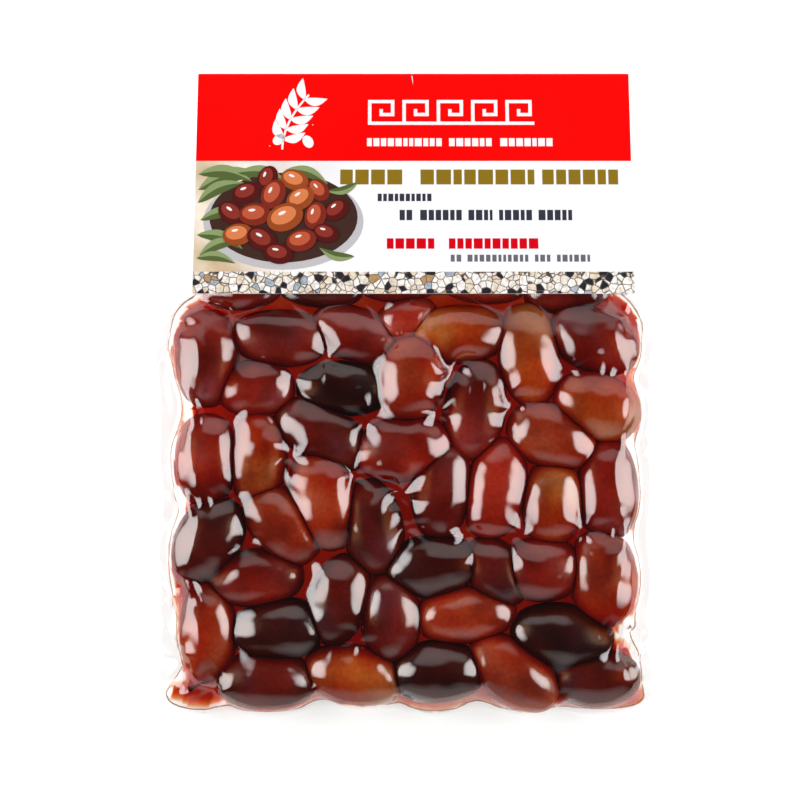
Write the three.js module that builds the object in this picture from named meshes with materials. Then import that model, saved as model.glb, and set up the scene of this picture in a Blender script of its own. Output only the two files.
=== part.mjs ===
// A vacuum packed bag of olives in brine, lying on its back, with a folded card over its header.
// Millimetres. X runs across the bag, Y up to the header and Z up from the table. The origin is
// the middle of the outline, at table height.

import * as THREE from 'three';

// ---------------------------------------------------------------- driving dimensions

const PACK_LENGTH = 224.6;      // from the fold of the card to the cut edge of the bag
const BAG_WIDTH = 162.7;        // across the two side seals
const HEADER_WIDTH = 140;       // the bag where the card covers it
const SEAL_THICKNESS = 0.5;     // two films welded together
const SIDE_SEAL = 1.8;          // narrowest width of a side seal
const BOTTOM_SEAL = 9.4;        // narrowest width of the bottom seal
const SEAL_HEIGHT = 4.6;        // of the side seals above the table
const BOTTOM_SEAL_HEIGHT = 3.2; // of the bottom seal's cut edge
const HEADER_HEIGHT = 5.6;      // of the flat header where the contents end
const SEAL_WAVE = 0.8;          // how far the seals wave up and down
const FILM = 0.3;               // film over an olive
const OLIVE_FLATTENING = 0.87;  // height of a squeezed olive over its width
const OLIVE_SPREAD = 1.12;      // how much longer and wider the squeeze makes an olive
const OLIVE_PRESS = 0.5;        // how far an olive's round belly is pressed flat on the table

const CARD_WIDTH = 145;
const CARD_PANEL = 77.0;        // length of the front panel from the fold
const CARD_SHIFT = 2.7;         // of the card's middle to the right of the bag's
const BACK_SHORTER = 0.6;       // how much higher the back panel ends
const CARD_THICKNESS = 0.5;
const CARD_GAP = 1.2;           // inside the fold
const CARD_LIFT = 16.5;         // of the front panel's lower edge

const GRID = 3.8;               // size of a film facet
const UPPER_DRAW = 0.6;         // how strongly the vacuum draws the upper film into the gaps
const LOWER_DRAW = 0.2;         // and the lower film, which the table holds up
const CLEARANCE = 0.4;          // between the bag and the card

const TOP = PACK_LENGTH / 2;
const BOTTOM = -PACK_LENGTH / 2;
const CARD_SLOPE = Math.asin(CARD_LIFT / CARD_PANEL);
const CARD_EDGE = TOP - CARD_PANEL * Math.cos(CARD_SLOPE);  // Y of the front panel's lower edge
const HEADER_END = TOP - 8;                                 // Y of the bag's upper cut edge
const SHOULDER = CARD_EDGE + 17;                            // Y where the contents end
const LEFT_NARROWS = [16, 34];      // Y between which the left side comes in to the header's width
const RIGHT_NARROWS = [28, 42];
const LEVEL_RUN = 22;               // run over which the height of the seals changes

// The olives of the single layer, row by row from the header down:
// [x, y of the middle, degrees turned, length, width before the squeeze].
const OLIVES = [
  [-54, 40, 8, 26, 15], [-29, 42, -8, 29, 14], [-2, 44, 4, 27, 13], [26, 42, -6, 29, 15],
  [54, 39, 8, 28, 15],
  [-65.7, 16, 87, 31, 20], [-42, 22, -3, 31, 18], [-16, 23, -20, 31, 17], [0, 28, 20, 22, 16],
  [18, 24, 3, 33, 19], [41, 17, 97, 33, 20], [62.5, 22, -25, 30, 20],
  [-50, 6, 0, 25, 19], [-20, 6, 0, 31, 18], [2, 9, 80, 28, 22], [23, -1, 80, 33, 20],
  [63.5, 0, -25, 28, 22], [49, -10, -20, 30, 21],
  [-66.2, -18, 90, 30, 20], [-49, -17, 88, 31, 19], [-28, -9, -30, 33, 19], [0, -14, 8, 32, 21],
  [12, -27, 85, 33, 20], [30, -27, 78, 33, 20], [49, -32, 85, 29, 20], [67, -27, 92, 34, 20],
  [-65.5, -44, 60, 29, 21], [-41, -39, -50, 30, 20], [-27, -31, 105, 33, 21], [-11, -40, 100, 31, 20],
  [-50, -57, 5, 31, 19], [9, -53, 5, 32, 20], [30, -55, -50, 25, 19], [46, -54, 0, 26, 21],
  [65.5, -57, 95, 31, 22],
  [-65.6, -76, 90, 36, 18.5], [-42, -74, 5, 31, 20], [-22, -64, 70, 30, 20], [-5, -70, 95, 29, 20],
  [20, -69, 5, 33, 19], [52, -76, -8, 33, 21],
  [-46, -91, 0, 32, 19], [-17, -89, -10, 33, 19], [11, -88, 3, 31, 20], [36, -88, -35, 33, 20],
  [63.5, -90, 0, 28, 19],
];

// Where the vacuum draws the inside of a seal inwards: [place along the edge, depth, half width].
const LEFT_NOTCHES = [[4, 7, 15], [-37, 4, 17], [-78, 3, 20]];
const RIGHT_NOTCHES = [[25, 4, 7], [9, 2, 7], [-45, 5, 12], [-75, 10, 12]];
const BOTTOM_NOTCHES = [[-70, 4, 12], [-25, 4, 14], [22, 5, 14]];

// ---------------------------------------------------------------- outline of the bag

const lerp = THREE.MathUtils.lerp;
const smoothstep = THREE.MathUtils.smoothstep;

/** Total depth of the notches of one edge at place s along it. */
function notchDepth(notches, s) {
  let depth = 0;
  for (const [centre, deep, half] of notches) {
    const t = Math.min(1, Math.abs(s - centre) / half);
    depth = Math.max(depth, deep * (1 + Math.cos(Math.PI * t)) / 2);
  }
  return depth;
}

/** Distance from the bag's middle to one side at y: each side comes in between two heights. */
function halfWidth(y, [from, to]) {
  return lerp(BAG_WIDTH, HEADER_WIDTH, smoothstep(y, from, to)) / 2;
}

/** Height of the middle of the sealed film at a point on the seals or in the header. */
function sealHeight(x, y) {
  const sides = SEAL_HEIGHT + SEAL_WAVE * Math.sin(y / 15);
  const bottom = BOTTOM_SEAL_HEIGHT + SEAL_WAVE * Math.sin(x / 13 + 1);
  const body = lerp(bottom, sides, smoothstep(y, BOTTOM, BOTTOM + LEVEL_RUN));
  const endHeight = CARD_THICKNESS + CLEARANCE + SEAL_THICKNESS / 2;
  const header = lerp(HEADER_HEIGHT, endHeight, smoothstep(y, SHOULDER, HEADER_END));
  return lerp(body, header, smoothstep(y, SHOULDER - LEVEL_RUN, SHOULDER));
}

// ---------------------------------------------------------------- the lumpy film

/** Lowest height of the contents at y: the back panel of the card lies under their upper end. */
function floorHeight(y) {
  return y > CARD_EDGE - GRID ? CARD_THICKNESS + CLEARANCE : 0;
}

/** Heights of the top and the underside of the lump that one olive makes, or null outside it. */
function oliveSpan([cx, cy, degrees, length, width], x, y) {
  const turn = THREE.MathUtils.degToRad(degrees);
  const along = ((x - cx) * Math.cos(turn) + (y - cy) * Math.sin(turn)) / (OLIVE_SPREAD * length / 2);
  const across = ((y - cy) * Math.cos(turn) - (x - cx) * Math.sin(turn)) / (OLIVE_SPREAD * width / 2);
  const rest = 1 - along * along - across * across;
  if (rest <= 0) return null;
  const half = width * OLIVE_FLATTENING / 2;
  const middle = floorHeight(cy) + half - OLIVE_PRESS;
  return [middle + half * Math.sqrt(rest) + FILM, middle - half * Math.sqrt(rest)];
}

/** Rows and columns of the film: a seal strip, even facets over the contents, a seal strip. */
function gridLines() {
  const rows = [BOTTOM, BOTTOM + BOTTOM_SEAL];
  const contents = Math.round((SHOULDER - rows[1]) / GRID);
  for (let j = 1; j <= contents; j++) rows.push(lerp(BOTTOM + BOTTOM_SEAL, SHOULDER, j / contents));
  const strips = 4;
  for (let j = 1; j <= strips; j++) rows.push(lerp(SHOULDER, HEADER_END, j / strips));
  const columns = Math.round((BAG_WIDTH - 2 * SIDE_SEAL) / GRID);
  return { rows, columns };
}

/** Place of grid point i, j in plan. */
function planPoint(grid, i, j) {
  const last = grid.columns + 2;
  const baseY = grid.rows[j];
  const leftEdge = -halfWidth(baseY, LEFT_NARROWS);
  const rightEdge = halfWidth(baseY, RIGHT_NARROWS);
  const left = leftEdge + SIDE_SEAL + notchDepth(LEFT_NOTCHES, baseY);
  const right = rightEdge - SIDE_SEAL - notchDepth(RIGHT_NOTCHES, baseY);
  let x = lerp(left, right, (i - 1) / grid.columns);
  if (i === 0) x = leftEdge;
  if (i === last) x = rightEdge;
  const shift = j === 0 ? 0 : 1 - smoothstep(baseY, BOTTOM + BOTTOM_SEAL, BOTTOM + LEVEL_RUN);
  return [x, baseY + shift * notchDepth(BOTTOM_NOTCHES, x)];
}

/** Draws one film tight over the olives: side is 1 for the upper film and -1 for the lower. */
function drawFilm(grid, plan, side) {
  const across = grid.columns + 3;
  const sealed = ([, , i, j]) => i <= 1 || i >= across - 2 || j <= 1 || plan[j * across][1] >= SHOULDER;
  const z = plan.map(([x, y]) => sealHeight(x, y) + side * SEAL_THICKNESS / 2);
  const limit = plan.map(([x, y]) => {
    const spans = OLIVES.map((olive) => oliveSpan(olive, x, y)).filter((span) => span);
    if (side > 0) return Math.max(...spans.map((span) => span[0]), -Infinity);
    return Math.min(...spans.map((span) => Math.max(floorHeight(y), span[1])), Infinity);
  });
  const free = [];
  plan.forEach((point, k) => {
    if (!sealed(point)) free.push(k);
  });
  for (let sweep = 0; sweep < 160; sweep++) {
    for (const k of free) {
      const mean = (z[k - 1] + z[k + 1] + z[k - across] + z[k + across]) / 4;
      z[k] = side > 0 ? Math.max(limit[k], mean - UPPER_DRAW) : Math.min(limit[k], mean + LOWER_DRAW);
    }
  }
  return z;
}

/** The bag: both films, closed round the cut edge. */
function bagGeometry() {
  const grid = gridLines();
  const across = grid.columns + 3;
  const plan = [];
  for (let j = 0; j < grid.rows.length; j++) {
    for (let i = 0; i < across; i++) plan.push([...planPoint(grid, i, j), i, j]);
  }
  const upper = drawFilm(grid, plan, 1);
  const lower = drawFilm(grid, plan, -1);
  const count = plan.length;
  const positions = [];
  plan.forEach(([x, y], k) => positions.push(x, y, Math.max(upper[k], lower[k] + SEAL_THICKNESS)));
  plan.forEach(([x, y], k) => positions.push(x, y, lower[k]));

  const triangles = [];
  for (let j = 0; j < grid.rows.length - 1; j++) {
    for (let i = 0; i < across - 1; i++) {
      const a = j * across + i;
      const [b, c, d] = [a + 1, a + across, a + across + 1];
      triangles.push(a, b, d, a, d, c);
      triangles.push(count + a, count + d, count + b, count + a, count + c, count + d);
    }
  }
  const rim = [];
  for (let i = 0; i < across - 1; i++) rim.push(i);
  for (let j = 0; j < grid.rows.length - 1; j++) rim.push(j * across + across - 1);
  for (let i = across - 1; i > 0; i--) rim.push((grid.rows.length - 1) * across + i);
  for (let j = grid.rows.length - 1; j > 0; j--) rim.push(j * across);
  rim.forEach((a, n) => {
    const b = rim[(n + 1) % rim.length];
    triangles.push(a, count + a, count + b, a, count + b, b);
  });
  return closedGeometry(positions, triangles);
}

// ---------------------------------------------------------------- the header card

/** Side view of the folded card, as [y, z] points of its middle line from the back to the front. */
function cardLine() {
  const radius = (CARD_GAP + CARD_THICKNESS) / 2;
  const low = CARD_THICKNESS / 2;
  const run = TOP - CARD_THICKNESS / 2 - radius;
  const slope = Math.asin((CARD_LIFT - low - 2 * radius) / (CARD_PANEL - radius));
  const line = [[CARD_EDGE + BACK_SHORTER, low]];
  const steps = 8;
  for (let k = 0; k <= steps; k++) {
    const angle = lerp(-Math.PI / 2, Math.PI / 2 - slope, k / steps);
    line.push([run + radius * Math.cos(angle), low + radius + radius * Math.sin(angle)]);
  }
  const [y, z] = line[line.length - 1];
  const rest = (y - CARD_EDGE) / Math.cos(slope);
  line.push([CARD_EDGE, z + rest * Math.sin(slope)]);
  return line;
}

/** Points of a line moved sideways by distance, with mitred corners. */
function offsetLine(line, distance) {
  return line.map((point, k) => {
    const before = line[Math.max(0, k - 1)];
    const after = line[Math.min(line.length - 1, k + 1)];
    const direction = new THREE.Vector2(after[0] - before[0], after[1] - before[1]).normalize();
    return [point[0] - direction.y * distance, point[1] + direction.x * distance];
  });
}

/** The card: its side view drawn out across the pack. */
function cardGeometry() {
  const line = cardLine();
  const inner = offsetLine(line, CARD_THICKNESS / 2);
  const outer = offsetLine(line, -CARD_THICKNESS / 2);
  const section = [...outer, ...inner.reverse()];
  const sides = section.length;
  const positions = [];
  for (const x of [CARD_SHIFT - CARD_WIDTH / 2, CARD_SHIFT + CARD_WIDTH / 2]) {
    for (const [y, z] of section) positions.push(x, y, z);
  }
  const contour = section.map(([y, z]) => new THREE.Vector2(y, z));
  const triangles = [];
  for (const [a, b, c] of THREE.ShapeUtils.triangulateShape(contour, [])) {
    triangles.push(a, c, b, sides + a, sides + b, sides + c);
  }
  for (let a = 0; a < sides; a++) {
    const b = (a + 1) % sides;
    triangles.push(a, b, sides + b, a, sides + b, sides + a);
  }
  return closedGeometry(positions, triangles);
}

// ---------------------------------------------------------------- meshes

function closedGeometry(positions, triangles) {
  const geometry = new THREE.BufferGeometry();
  geometry.setAttribute('position', new THREE.Float32BufferAttribute(positions, 3));
  geometry.setIndex(triangles);
  geometry.computeVertexNormals();
  return geometry;
}

function piece(name, geometry, colour, roughness) {
  const material = new THREE.MeshStandardMaterial({ color: colour, roughness, metalness: 0 });
  const mesh = new THREE.Mesh(geometry, material);
  mesh.name = name;
  return mesh;
}

const pack = new THREE.Group();
pack.add(piece('olive_bag', bagGeometry(), 0x7a2416, 0.12));
pack.add(piece('header_card', cardGeometry(), 0xd81a12, 0.4));

export default pack;
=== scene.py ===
"""A vacuum packed bag of olives in brine, lying on its back, with a folded card over its header.

Lengths are in millimetres and become metres where a mesh is made. X runs across the bag, Y up to
the header and Z up from the table, as in the frame.
"""
import math
import random

import bpy
import numpy as np
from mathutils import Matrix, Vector
from mathutils.geometry import tessellate_polygon


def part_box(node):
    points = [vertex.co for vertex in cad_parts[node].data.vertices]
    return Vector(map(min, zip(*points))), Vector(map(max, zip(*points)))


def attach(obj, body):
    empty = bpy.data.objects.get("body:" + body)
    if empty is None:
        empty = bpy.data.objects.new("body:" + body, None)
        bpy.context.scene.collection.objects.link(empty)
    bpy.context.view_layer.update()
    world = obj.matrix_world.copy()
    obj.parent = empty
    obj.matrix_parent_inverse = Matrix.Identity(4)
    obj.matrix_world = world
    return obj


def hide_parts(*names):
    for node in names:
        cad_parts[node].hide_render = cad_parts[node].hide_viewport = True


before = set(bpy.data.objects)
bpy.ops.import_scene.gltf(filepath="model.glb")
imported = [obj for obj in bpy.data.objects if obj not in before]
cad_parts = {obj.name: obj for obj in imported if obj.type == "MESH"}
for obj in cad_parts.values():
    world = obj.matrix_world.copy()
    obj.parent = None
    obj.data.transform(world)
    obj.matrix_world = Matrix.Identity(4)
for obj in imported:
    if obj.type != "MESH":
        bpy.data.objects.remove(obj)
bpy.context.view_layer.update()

MM = 0.001

# ---------------------------------------------------------------- sizes from the frame


def node_box(node):
    """Lowest and highest corner of a CAD node, in millimetres."""
    low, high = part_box(node)
    return np.array(low) / MM, np.array(high) / MM


BAG_LOW, BAG_HIGH = node_box("olive_bag")
CARD_LOW, CARD_HIGH = node_box("header_card")
BAG_HALF = (BAG_HIGH[0] - BAG_LOW[0]) / 2
CARD_EDGE = CARD_LOW[1]
CARD_FOLD = CARD_HIGH[1]

# ---------------------------------------------------------------- sizes of the card

CARD_THICKNESS = 0.4
FOLD_RADIUS = 0.8
BACK_SHORTER = 0.6
MOSAIC_TOP = 7.4                # of the strip of stones, up the front panel from its lower edge
RED_FROM = 45.6                 # where the red band begins
PICTURE_WIDTH = 57.0
INK = 0.006                     # how far one layer of print stands on the next
CARD_LEFT, CARD_RIGHT = CARD_LOW[0], CARD_HIGH[0]
CARD_WIDTH = CARD_RIGHT - CARD_LEFT


def card_slope():
    """Angle at which the front panel rises from the fold."""
    rise = CARD_HIGH[2] - CARD_THICKNESS - 2 * FOLD_RADIUS
    return math.atan2(rise, CARD_FOLD - CARD_THICKNESS / 2 - FOLD_RADIUS - CARD_EDGE)


SLOPE = card_slope()
CARD_PANEL_LENGTH = (CARD_FOLD - CARD_THICKNESS / 2 - FOLD_RADIUS - CARD_EDGE) / math.cos(SLOPE)
PANEL_UP = np.array([0, math.cos(SLOPE), -math.sin(SLOPE)])     # along the front panel to the fold
PANEL_OUT = np.array([0, math.sin(SLOPE), math.cos(SLOPE)])

# ---------------------------------------------------------------- the olives

# One olive a row, from the header down: x, y of the middle, degrees turned, length and width before
# the spread, kind.
OLIVES = [
    (-54, 40, 8, 26, 15, "maroon"), (-29, 40.8, -8, 29, 15, "plum"), (-2, 42.5, 4, 27, 15, "maroon"),
    (26, 42, -6, 29, 15, "russet"), (54, 39, 8, 28, 15, "maroon"),
    (-65.7, 16, 87, 31, 20, "maroon"), (-42, 22.8, -3, 31, 18.5, "maroon"),
    (-16, 23.8, -20, 31, 17.5, "maroon"), (0, 28, 20, 22, 16, "red"),
    (18, 24, 3, 33, 19, "amber"), (41, 17, 97, 33, 20, "amber"), (62.5, 22, -25, 30, 20, "maroon"),
    (-50, 6, 0, 25, 19, "maroon"), (-20, 6, 0, 31, 18, "black"), (2, 9, 80, 28, 22, "russet"),
    (23, -1, 80, 33, 20, "maroon"), (63.5, 0, -25, 28, 22, "amber"), (49, -10, -20, 30, 21, "russet"),
    (-66.2, -18, 90, 30, 20, "red"), (-49, -17, 88, 31, 19, "amber"),
    (-28, -9, -30, 33, 19, "plum"), (0, -14, 8, 32, 21, "red"),
    (12, -27, 85, 33, 20, "plum"), (30, -27, 78, 33, 20, "red"), (49, -32, 85, 29, 20, "amber"),
    (67, -27, 92, 34, 20, "maroon"),
    (-65.5, -44, 60, 29, 21, "plum"), (-41, -39, -50, 30, 20, "russet"),
    (-27, -31, 105, 33, 21, "russet"), (-11, -40, 100, 31, 20, "plum"),
    (-50, -57, 5, 31, 19, "maroon"), (9, -53, 5, 32, 20, "black"), (30, -55, -50, 25, 19, "plum"),
    (46, -54, 0, 26, 21, "maroon"), (65.5, -57, 95, 31, 22, "russet"),
    (-65.6, -74.2, 90, 32.5, 18.5, "russet"), (-42, -74, 5, 31, 20, "black"),
    (-22, -64, 70, 30, 20, "plum"), (-5, -70, 95, 29, 20, "plum"),
    (20, -69, 5, 33, 19, "russet"), (52, -76, -8, 33, 21, "black"),
    (-46, -91, 0, 32, 19, "plum"), (-17, -89, -10, 33, 19, "amber"),
    (11, -88, 3, 31, 20, "black"), (36, -88, -35, 33, 20, "russet"), (63.5, -90, 0, 28, 19, "plum"),
]
SPREAD = 1.12           # how much longer and wider each is made, set to narrow the gaps
FLATTENING = 0.87       # height of an olive over its listed width
PRESS = 0.5             # how far its round belly is pressed flat on the table
BARREL = (0.95, 0.97)   # length and width of the blunt olive that its ellipsoid holds
WELD = 0.2              # thickness of two welded films
# Places at the rim where brine alone keeps the films apart: x, y, degrees turned, length, width, height.
POCKETS = [
    (-72.5, 25, 90, 24, 13, 10), (-72.5, -19, 90, 20, 13, 10), (-72.5, -53, 90, 30, 14, 10),
    (-71, -97, -8, 20, 11, 7), (-46, -97, 0, 30, 12, 9), (-12, -95, 0, 20, 10, 9),
    (10, -97, 0, 24, 12, 9), (38, -96.5, 0, 20, 11, 8), (66, -97, 0, 30, 10, 7),
    (72.5, -90, 90, 20, 12, 9), (73, -57, 90, 22, 12, 10), (72.5, -24, 90, 22, 12, 10),
    (72.5, 28, -70, 22, 12, 10),
]
OLIVE_RINGS = 30
OLIVE_SIDES = 40
PIT_HOLE = (0.17, 0.1)  # radius and depth of the pit's hole, in the olive's own sizes
NEIGHBOUR_REACH = 40    # between the middles of olives that can touch
LOWEST = 0.25           # of an olive's skin above the table
HALVINGS = 14           # of the search for where two olives meet


def olive_arrays():
    """Centres, semi-axes and turned axes of the olives, and after them of the pockets of brine."""
    rows = [(x, y, turn, SPREAD * length, SPREAD * width, FLATTENING * width)
            for x, y, turn, length, width, _ in OLIVES]
    rows = np.array(rows + POCKETS, dtype=np.float32)
    base = np.where(rows[:, 1] > CARD_EDGE, CARD_THICKNESS + WELD, 0) - PRESS
    centres = np.column_stack([rows[:, 0], rows[:, 1], rows[:, 5] / 2 + base]).astype(np.float32)
    axes = rows[:, 3:] / 2
    turn = np.radians(rows[:, 2])
    turns = np.column_stack([np.cos(turn), np.sin(turn)])
    return centres, axes.astype(np.float32), turns.astype(np.float32)


CENTRES, AXES, TURNS = olive_arrays()


def along_and_across(away, turns, half):
    """Offsets from turned ellipses along and across them, in their own sizes."""
    cos, sin = turns[..., 0], turns[..., 1]
    along = (away[..., 0] * cos + away[..., 1] * sin) / half[..., 0]
    across = (away[..., 1] * cos - away[..., 0] * sin) / half[..., 1]
    return along, across


def to_local(points, k):
    """Points in the frame of olive k, with its surface at distance 1."""
    away = points - CENTRES[k]
    return np.column_stack([*along_and_across(away, TURNS[k], AXES[k]), away[:, 2] / AXES[k, 2]])


def olive_shape(k, rings=OLIVE_RINGS, sides=OLIVE_SIDES):
    """Vertices and faces of one olive: a slightly pointed egg with the pit's hole at one end."""
    tip = 1 if k % 2 else -1
    theta = np.linspace(0, math.pi, rings + 1)[1:-1]
    phi = np.linspace(0, 2 * math.pi, sides, endpoint=False)
    along = np.cos(theta)
    taper = 1 - 0.05 * tip * along
    across = BARREL[1] * np.sin(theta) ** 0.85 * taper / 1.03
    x = BARREL[0] * np.repeat(along, sides)
    y = np.outer(across, np.cos(phi)).ravel()
    z = np.outer(across, np.sin(phi)).ravel()
    local = np.vstack([[BARREL[0], 0, 0], np.column_stack([x, y, z]), [-BARREL[0], 0, 0]])
    reach = np.hypot(local[:, 1], local[:, 2])
    hole = np.clip(1 - reach / PIT_HOLE[0], 0, 1) * (local[:, 0] * tip > 0)
    local[:, 0] -= tip * PIT_HOLE[1] * np.sin(hole * math.pi / 2)
    cos, sin = TURNS[k]
    scaled = local * AXES[k]
    points = np.column_stack([
        scaled[:, 0] * cos - scaled[:, 1] * sin,
        scaled[:, 0] * sin + scaled[:, 1] * cos,
        scaled[:, 2],
    ])
    faces = [(0, 1 + j, 1 + (j + 1) % sides) for j in range(sides)]
    for ring in range(rings - 2):
        start = 1 + ring * sides
        for j in range(sides):
            n = (j + 1) % sides
            faces.append((start + j, start + sides + j, start + sides + n, start + n))
    last = len(local) - 1
    start = 1 + (rings - 2) * sides
    faces += [(last, start + (j + 1) % sides, start + j) for j in range(sides)]
    return points, faces


def squeeze(points, k, margin=0.012):
    """Flattens olive k where it would enter a neighbour, half the way each."""
    away = np.linalg.norm(CENTRES[:len(OLIVES)] - CENTRES[k], axis=1)
    near = [j for j in range(len(OLIVES)) if j != k and away[j] < NEIGHBOUR_REACH]
    own = np.linalg.norm(to_local(CENTRES[k] + points, k), axis=1)
    low = np.zeros(len(points))
    high = np.ones(len(points))
    for _ in range(HALVINGS):
        middle = (low + high) / 2
        places = CENTRES[k] + points * middle[:, None]
        others = np.min([np.linalg.norm(to_local(places, j), axis=1) for j in near], axis=0)
        clear = others > own * middle + margin
        low = np.where(clear, middle, low)
        high = np.where(clear, high, middle)
    full = np.min([np.linalg.norm(to_local(CENTRES[k] + points, j), axis=1) for j in near], axis=0)
    keep = np.where(full > own + margin, 1.0, low)
    placed = CENTRES[k] + points * keep[:, None]
    placed[:, 2] = np.maximum(placed[:, 2], LOWEST)
    return placed


# ---------------------------------------------------------------- the vacuum drawn film

FLAT_HALF = BAG_HALF + 2.2      # half width of the bag before the vacuum drew it in
HEADER_HALF = 70.0              # half width where the card covers it
FLAT_BOTTOM = BAG_LOW[1] - 5.0
FLAT_TOP = CARD_EDGE + 21
HEADER_Y = CARD_EDGE + 18       # where the contents end and the flat header begins
HEADER_Z = 5.6
HEADER_END_Z = 0.9              # of the bag's upper cut edge
HEADER_ROWS = 4                 # of the net, over the header
LEFT_NARROWS = (16, 34)         # Y between which the bag narrows to its header
RIGHT_NARROWS = (28, 42)
SIDE_SEAL = 3.4
BOTTOM_SEAL = 12.0
FILM_GAP = 0.15                 # film to olive
CONTENTS = 280e3                # olives and brine, in cubic millimetres
PRESSURE = 0.03                 # most that the air moves the film, in cells a step
URGENCY = 20                    # how soon that much is reached as the volume departs from the contents
BRINE_WEIGHT = 0.002            # how far the brine moves the lower film down, in cells a step
FLANGE_WEIGHT = 0.02            # and the weight of the bottom seal that hangs free
THREAD_PASSES = 3
SQUASH = 1.0                    # how hard the film resists being pushed together in its plane
STIFFNESS = ((2, 0.7), (4, 0.3))    # (cells, strength) of the links that keep it from folding
DAMPING = 0.9
SETTLING = (400, 400, 260)      # steps at each fineness of the net
FIRST_CELLS = 50
START_MIDDLE = 5                # height of the flat bag's seals before the air presses on it
START_RISE = 17                 # of its upper film above them
START_SLOPE = 0.18              # share of the half width over which it rises
START_ENDS = 1.6                # at the two ends, over this much less of the whole length
RIPPLES = ((20.0, 0.28), (6.5, 0.045))  # (length, height) of the fine unevenness of the drawn film
RIPPLE_WAVES = 7                        # of each length
RIM_FOLDS = ((-69.0, 3.0), (70.0, -9.0))    # X of a crease beside a side seal, Y of a pinch in it
RIM_FOLD_WAVE = 1.8
RIM_FOLD_WAVE_LENGTH = 47.0
RIM_FOLD_LENGTH = 24.0
RIM_FOLD_PINCHED = 0.8          # half width of the crease at a pinch
RIM_FOLD_HALF = 3.6             # and what is added between pinches
RIM_FOLD_HEIGHT = 1.1
RIM_FOLD_ENDS = (1, 6, 4, 8)    # clear of the card, fading; clear of the bottom seal, fading
STAR_GAP = 1.02                 # how far from every olive, in its own sizes, a star of folds lies
STAR_GRID = 1.3                 # of the places that are tried
STAR_SPACING = 11.0
STAR_MARGIN = 6.0
STAR_ARMS = (2, 3, 3, 4)
STAR_TWIST = 0.12
STAR_HEIGHT = (0.8, 1.5)
STAR_REACH = (12.0, 19.0)
STAR_PEAK = 6.75                # brings the highest point of s * (1 - s) ** 2 to 1
FREE_GAP = 3.0                  # between the films, from which on they ripple in full
EDGE_GAP = 0.9                  # between the films, below which no brine shows
EDGE_TURNS = (138, 402)         # degrees round the net, from the card's edge to its edge again
EDGE_POINTS = 480
EDGE_START = 1.45               # half nets from the middle, so beyond the net's corners
EDGE_EVENED = 5                 # points over which the line is evened
EDGE_RADIUS = 0.3
BRINE_INSET = 0.06              # of the brine in the films
BRINE_LEAST = 0.004             # half its least thickness
RIPPLE_ROOM = 0.3               # that a ripple may rise over the frame's box
RIPPLE_SEED, STAR_SEED = 19, 23


def ease(t):
    t = np.clip(t, 0, 1)
    return t * t * (3 - 2 * t)


def narrowing(y, between):
    """Half width of the flat bag at y, on a side that narrows between two heights."""
    return FLAT_HALF + (HEADER_HALF - FLAT_HALF) * ease((y - between[0]) / (between[1] - between[0]))


def flat_pattern(cells):
    """The bag laid flat: plan places of a net of cells by cells, and which of them are welded."""
    u = np.linspace(-1, 1, cells + 1)
    y = np.linspace(FLAT_BOTTOM, FLAT_TOP, cells + 1)
    left = narrowing(y, LEFT_NARROWS)[:, None]
    right = narrowing(y, RIGHT_NARROWS)[:, None]
    x = np.where(u < 0, u * left, u * right)
    pattern = np.stack([x, np.repeat(y[:, None], cells + 1, axis=1)], axis=-1)
    reach = np.where(x < 0, left + x, right - x)
    sealed = (reach <= SIDE_SEAL) | (pattern[..., 1] <= FLAT_BOTTOM + BOTTOM_SEAL)
    return pattern.astype(np.float32), sealed


def finer(net):
    """The same net with half the cell size."""
    rows, columns = net.shape[1:3]
    out = np.zeros((2, 2 * rows - 1, 2 * columns - 1, 3), np.float32)
    out[:, ::2, ::2] = net
    out[:, 1::2, ::2] = (net[:, :-1] + net[:, 1:]) / 2
    out[:, :, 1::2] = (out[:, :, :-2:2] + out[:, :, 2::2]) / 2
    return out


def link_ends(size, span, start):
    """Every pair of places that lie a span apart, without sharing one."""
    return slice(start, size - span, 2 * span), slice(start + span, size, 2 * span)


def links(pattern, span):
    """Links between net points a span apart, along rows and columns, in sets that share no point."""
    every = slice(None)
    rows, columns = pattern.shape[:2]
    ends = []
    for start in range(2 * span):
        a, b = link_ends(columns, span, start)
        ends.append(((every, a), (every, b)))
        a, b = link_ends(rows, span, start)
        ends.append(((a, every), (b, every)))
        if span == 1:
            ends.append(((a, slice(0, columns - 1)), (b, slice(1, columns))))
            ends.append(((a, slice(1, columns)), (b, slice(0, columns - 1))))
    rest = [np.linalg.norm(pattern[a] - pattern[b], axis=-1).astype(np.float32) for a, b in ends]
    return [(a, b, length) for (a, b), length in zip(ends, rest)]


def pull(net, weight, link, stretch, squash):
    """Moves both ends of each link towards its rest length."""
    first, second, rest = link
    both = slice(None)
    a, b = net[(both, *first)], net[(both, *second)]
    span = b - a
    length = np.sqrt((span * span).sum(-1)) + 1e-9
    off = (length - rest) / length
    off *= np.where(off > 0, stretch, squash)
    wa, wb = weight[first], weight[second]
    step = span * (off / (wa + wb + 1e-9))[..., None]
    net[(both, *first)] = a + step * wa[..., None]
    net[(both, *second)] = b - step * wb[..., None]


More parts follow.
